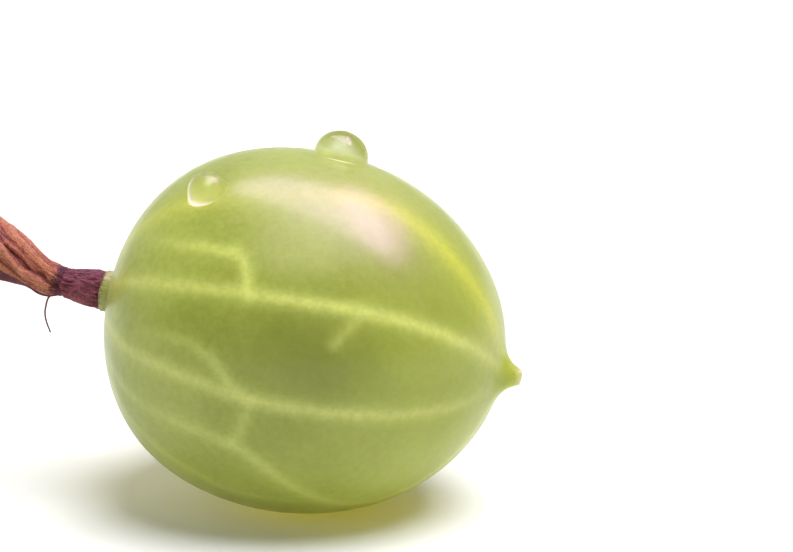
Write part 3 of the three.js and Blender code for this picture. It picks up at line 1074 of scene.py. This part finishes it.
def fruit_skin():
    """Yellow-green skin with paler veins under it, mottled flesh, a soft gloss and a painted crescent
    of light at each drop's foot.
    """
    deep_flesh, pale_flesh = srgb(134, 145, 42), srgb(162, 172, 78)
    stalk_end_flesh, shaded_flesh = srgb(176, 184, 66), srgb(108, 117, 30)
    vein_tones = (
        ("main_vein", srgb(214, 219, 120), 0.85),
        ("side_vein", srgb(212, 218, 118), 0.75),
        ("crown_vein", srgb(204, 205, 64), 0.74),
    )
    # Colour of the painted crescents of light at the drops' feet
    painted_caustic = srgb(250, 240, 230)
    neck_green, neck_straw, withered = srgb(124, 130, 50), srgb(158, 156, 88), srgb(84, 54, 50)
    nub_scar = srgb(172, 172, 122)
    cloud_scale, pulp_scale, fine_scale, gloss_scale = 0.22, 2.4, 9.0, 1.3

    material, tree = new_material("gooseberry_skin")
    place = attribute(tree, "fruit_place", "Vector")
    along = tree.parts(place)["X"]
    clouds = tree.ramp(tree.noise(place, cloud_scale, 3.0, 0.55), 0.35, 0.68)
    pulp = tree.ramp(tree.noise(place, pulp_scale, 5.0, 0.7), 0.32, 0.68)
    to_stalk = tree.ramp(along, -fruit_end, fruit_end)
    flesh = tree.blend(deep_flesh, pale_flesh, clouds * 0.4 + pulp * 0.32)
    flesh = tree.blend(flesh, stalk_end_flesh, to_stalk ** 2.0 * 0.32)
    for turn, around, size, strength in shade_patches:
        middle = on_skin(at_angle(turn), at_angle(around))
        near = tree.ramp(tree.vector("DISTANCE", place, tuple(middle)), 0.0, size, strength, 0.0)
        flesh = tree.blend(flesh, shaded_flesh, near)
    mottle = 0.75 + pulp * 0.3
    coloured = flesh
    for label, tone, strength in vein_tones:
        coloured = tree.blend(coloured, tone, attribute(tree, label) * mottle * strength)
    # Painted light: each drop's crescent of gathered light is painted into the skin's colour
    for drop in drops:
        painted_crescent = painted_drop_light(tree, place, drop) * drop["light"]
        coloured = tree.blend(coloured, painted_caustic, painted_crescent)

    tip = tree.ramp(along, fruit_end + 0.75, fruit_end + 1.05)
    neck = tree.ramp(along, -fruit_end, -fruit_end - 0.15)
    streaks = tree.stretched_noise(place, (5.0, 6.0, 6.0), 4.0, 0.7)
    withering = tree.ramp(along + (streaks - 0.5) * 0.9, -fruit_end - 0.4, -fruit_end - neck_length)
    coloured = tree.blend(coloured, tree.blend(neck_green, neck_straw, streaks), neck)
    coloured = tree.blend(coloured, withered, withering * 0.7)
    coloured = tree.blend(coloured, nub_scar, tip)

    fine = tree.noise(place, fine_scale, 3.0, 0.6)
    bump = tree.add("ShaderNodeBump", {}, {"Strength": 0.06, "Distance": 0.0002, "Height": fine})
    surface(tree, {
        "Base Color": coloured,
        "Roughness": 0.42 + tree.noise(place, gloss_scale, 3.0) * 0.08,
        "IOR": 1.36,
        "Subsurface Weight": 0.75,
        "Subsurface Radius": (1.0, 0.9, 0.25),
        "Subsurface Scale": 0.0022,
        "Coat Weight": 0.4,
        "Coat Roughness": 0.2,
        "Normal": bump["Normal"],
    })
    return material


def dried_tissue(name, ridges, furrows, fibre_scale, rooted):
    """Shrivelled flower tissue with fine fibres: painted highlights on the ridges, painted shade in
    the furrows.

    ridges and furrows are each a dark and a light tone, the ridges' carrying the painted highlight and
    the furrows' the painted shade.
    rooted tissue starts in its dark tones, as the tube does."""
    thread_relief, flake_relief, flake_fineness = 3.2, 4.0, 2.6
    root_depth, root_share = 0.35, 0.15

    material, tree = new_material(name)
    place = attribute(tree, "grain_place", "Vector")
    fibre_place = tree.vector("MULTIPLY", place, fibre_scale)
    threads = tree.noise(fibre_place, 1.0, 5.0, 0.65)
    flakes = tree.noise(fibre_place, flake_fineness, 3.0, 0.6)
    patches = tree.stretched_noise(place, (5.0, 6.0, 5.0), 3.0)
    tone = attribute(tree, "tone")
    if rooted:
        ragged_share = attribute(tree, "share") + (threads - 0.5) * 0.35
        from_root = tree.ramp(ragged_share, 0.0, root_share)
        tone = tone * from_root - (1.0 - from_root) * root_depth
    tone = tree.ramp(tone + (patches - 0.5) * 0.5, 0.0, 1.0)
    height = attribute(tree, "fold_shade") + (threads - 0.5) * thread_relief
    height = height + (flakes - 0.5) * flake_relief
    lit_ridge = tree.blend(*ridges, tone)
    shaded_furrow = tree.blend(*furrows, tone)
    # Painted highlight where the relief is high, painted shade where it is low.
    tissue = tree.blend(shaded_furrow, lit_ridge, tree.ramp(height, -0.7, 1.5))
    bump = tree.add(
        "ShaderNodeBump", {},
        {"Strength": 1.0, "Distance": 0.00018, "Height": threads + flakes * 0.6},
    )
    surface(tree, {
        "Base Color": tissue,
        "Roughness": 0.5 + threads * 0.25,
        "Subsurface Weight": 0.12,
        "Subsurface Radius": (1.0, 0.4, 0.25),
        "Subsurface Scale": 0.0003,
        "Normal": bump["Normal"],
    })
    return material


def thread_material():
    material, tree = new_material("dried_thread")
    place = tree.add("ShaderNodeTexCoord")["Object"]
    patches = tree.ramp(tree.noise(place, 1500.0, 3.0), 0.35, 0.65)
    dark_thread, light_thread = srgb(70, 30, 42), srgb(118, 62, 66)
    surface(tree, {"Base Color": tree.blend(dark_thread, light_thread, patches), "Roughness": 0.5})
    return material


def water(name, tint, haze):
    """Clear water whose tint is painted shade, darkening and yellowing the skin seen through it, and
    which lets straight light through to the skin.
    """
    material, tree = new_material(name)
    # Painted shade: the water's tint darkens what is seen through the drop.
    drop = tree.add("ShaderNodeBsdfPrincipled", {}, {
        "Base Color": (*tint, 1.0),
        "Roughness": haze,
        "IOR": 1.333,
        "Transmission Weight": 1.0,
    })
    clear = tree.add("ShaderNodeBsdfTransparent")
    in_shadow = tree.add("ShaderNodeLightPath")["Is Shadow Ray"]
    mixed = tree.add("ShaderNodeMixShader", {}, {0: in_shadow, 1: drop["BSDF"], 2: clear["BSDF"]})
    tree.add("ShaderNodeOutputMaterial", {}, {"Surface": mixed["Shader"]})
    return material


# ---- Studio: sizes in metres, except for the glows, which are in millimetres ----

floor_half = 3.0
front_light, back_light = 0.45, 0.74        # the room's brightness in front and behind
right_share, ceiling_share = 0.56, 0.55     # what is left of it at the right and overhead
key_offset, key_size, key_power = (0.035, -0.02, 0.25), 0.19, 0.84
overhead_power, overhead_spread, overhead_tilt = 4.75, 46, 16

# Soft boxes: place from the fruit's middle, size, power and colour
soft_boxes = [
    ("wide_softbox", (0.03, 0.083, 0.25), (0.34, 0.13), 1.05, (0.97, 0.65, 1.0)),
    ("close_softbox", (0.134, 0.106, 0.25), (0.3, 0.12), 0.72, (0.93, 0.3, 1.0)),
    ("front_veil", (0.05, -0.03, 0.25), (0.34, 0.18), 0.45, (0.97, 0.75, 1.0)),
]
# Glows on the floor: place right of and before the fruit's middle, height, size, power, colour
glows = [
    ("deep_glow", 2.2, 1.0, 3.2, (12, 9), 0.00009, (1.0, 0.84, 0.0)),
    ("wide_glow", -7.5, -1.0, 5.0, (16, 14), 0.0002, (1.0, 0.93, 0.45)),
]


def make_floor():
    half = floor_half
    floor = mesh_object(
        "studio_floor", [(-half, -half, 0), (half, -half, 0), (half, half, 0), (-half, half, 0)],
        [(0, 1, 2, 3)],
    )
    material, tree = new_material("pale_floor")
    place = tree.add("ShaderNodeTexCoord")["Object"]
    tone = tree.noise(place, 40.0, 3.0)
    surface(tree, {
        "Base Color": tree.blend((0.74, 0.74, 0.74, 1.0), (0.78, 0.78, 0.78, 1.0), tone),
        "Roughness": 0.9,
        "Specular IOR Level": 0.1,
    })
    floor.data.materials.append(material)
    return floor


def area_light(name, place, target, size, power, colour=(1.0, 1.0, 1.0)):
    light = bpy.data.lights.new(name, "AREA")
    light.shape = "ELLIPSE"
    light.size, light.size_y = size
    light.energy = power
    light.color = colour
    obj = link(bpy.data.objects.new(name, light))
    obj.location = place
    obj.rotation_euler = (Vector(target) - Vector(place)).to_track_quat("-Z", "Y").to_euler()
    return obj


def light_group(name, objects, state="INCLUDE"):
    """The objects that a light is given to, or kept from."""
    group = bpy.data.collections.new(name)
    for obj in objects:
        group.objects.link(obj)
    for entry in group.collection_objects:
        entry.light_linking.link_state = state
    return group


def make_light(middle, floor):
    """A bright room behind and at the left, darker in front and at the right, a key light for
    the fruit, an overhead light for the floor, and soft boxes that only shine in its gloss."""
    world = bpy.data.worlds.new("studio")
    bpy.context.scene.world = world
    world.use_nodes = True
    tree = Tree(world.node_tree)
    direction = tree.parts(tree.add("ShaderNodeTexCoord")["Generated"])
    depth = tree.ramp(direction["Y"], -0.75, 0.35, front_light, back_light)
    away_right = tree.ramp(direction["X"], 0.15, 0.85, 1.0, right_share)
    ceiling = tree.ramp(direction["Z"], 0.25, 0.8, 1.0, ceiling_share)
    seen = tree.add("ShaderNodeLightPath")["Is Camera Ray"]
    strength = tree.maths("MAXIMUM", depth * away_right * ceiling, seen)
    background = tree.add(
        "ShaderNodeBackground", {}, {"Color": (1.0, 1.0, 1.0, 1.0), "Strength": strength}
    )
    tree.add("ShaderNodeOutputWorld", {}, {"Surface": background["Background"]})

    key_place = middle + Vector(key_offset)
    key = area_light("key_light", key_place, middle, (key_size, key_size), key_power)
    key.visible_glossy = False
    key.light_linking.receiver_collection = light_group("not_lit_by_key", [floor], "EXCLUDE")
    overhead = bpy.data.lights.new("floor_light", "SUN")
    overhead.energy = overhead_power
    overhead.angle = at_angle(overhead_spread)
    sky = link(bpy.data.objects.new("floor_light", overhead))
    sky.rotation_euler = (0, at_angle(overhead_tilt), 0)
    sky.light_linking.receiver_collection = light_group("lit_from_overhead", [floor])
    for name, place, size, power, colour in soft_boxes:
        shine = area_light(name, middle + Vector(place), middle, size, power, colour)
        shine.visible_diffuse = False
        shine.visible_transmission = False


def make_glow(middle, fruit, floor):
    """The yellow light that comes through the fruit onto the floor under it."""
    lit = light_group("lit_by_glow", [floor])
    passed = light_group("passed_by_glow", [fruit], "EXCLUDE")
    for name, right, front, height, size, power, colour in glows:
        place = Vector((middle.x + right * MM, -front * MM, height * MM))
        size = (size[0] * MM, size[1] * MM)
        glow = area_light(name, place, place - Vector((0, 0, 1)), size, power, colour)
        glow.light_linking.receiver_collection = lit
        glow.light_linking.blocker_collection = passed


def make_camera(middle):
    azimuth, elevation = at_angle(view_azimuth), at_angle(view_elevation)
    back = Vector((
        math.sin(azimuth) * math.cos(elevation),
        -math.cos(azimuth) * math.cos(elevation),
        math.sin(elevation),
    ))
    right = Vector((math.cos(azimuth), math.sin(azimuth), 0))
    up = back.cross(right)
    camera = bpy.data.cameras.new("camera")
    camera.sensor_width = sensor_width
    camera.lens = sensor_width * view_distance / view_width
    camera.clip_start = 0.01
    camera.clip_end = 20
    obj = link(bpy.data.objects.new("camera", camera))
    facing = Matrix((right, up, back)).transposed().to_4x4()
    eye = middle + (right * view_right + up * view_up + back * view_distance) * MM
    obj.matrix_world = Matrix.Translation(eye) @ facing
    bpy.context.scene.camera = obj


# ---- The whole scene ----

fruit_middle = fruit_frame @ Vector((0, 0, 0))
make_camera(fruit_middle)
floor = make_floor()
make_light(fruit_middle, floor)

fruit = make_fruit(fruit_skin())
make_glow(fruit_middle, fruit, floor)
# Each tissue's ridge tones carry painted highlights and its furrow tones painted shade.
make_tube(dried_tissue(
    "dried_tube",
    ridges=(srgb(148, 65, 79), srgb(176, 92, 92)), furrows=(srgb(90, 36, 46), srgb(96, 38, 46)),
    fibre_scale=(7.0, 9.0, 7.0), rooted=False,
))
sepal_tissue = dried_tissue(
    "dried_sepal",
    ridges=(srgb(112, 46, 58), srgb(212, 138, 98)), furrows=(srgb(60, 18, 28), srgb(138, 54, 44)),
    fibre_scale=(15.0, 17.0, 5.0), rooted=True,
)
for number in range(sepal_count):
    make_sepal(number, sepal_tones[number], sepal_bulges[number], sepal_tissue)
make_threads(thread_material())
for drop in drops:
    make_drop(drop, water(drop["name"] + "_water", drop["tint"], drop["haze"]))

bpy.context.scene.view_settings.view_transform = "Standard"
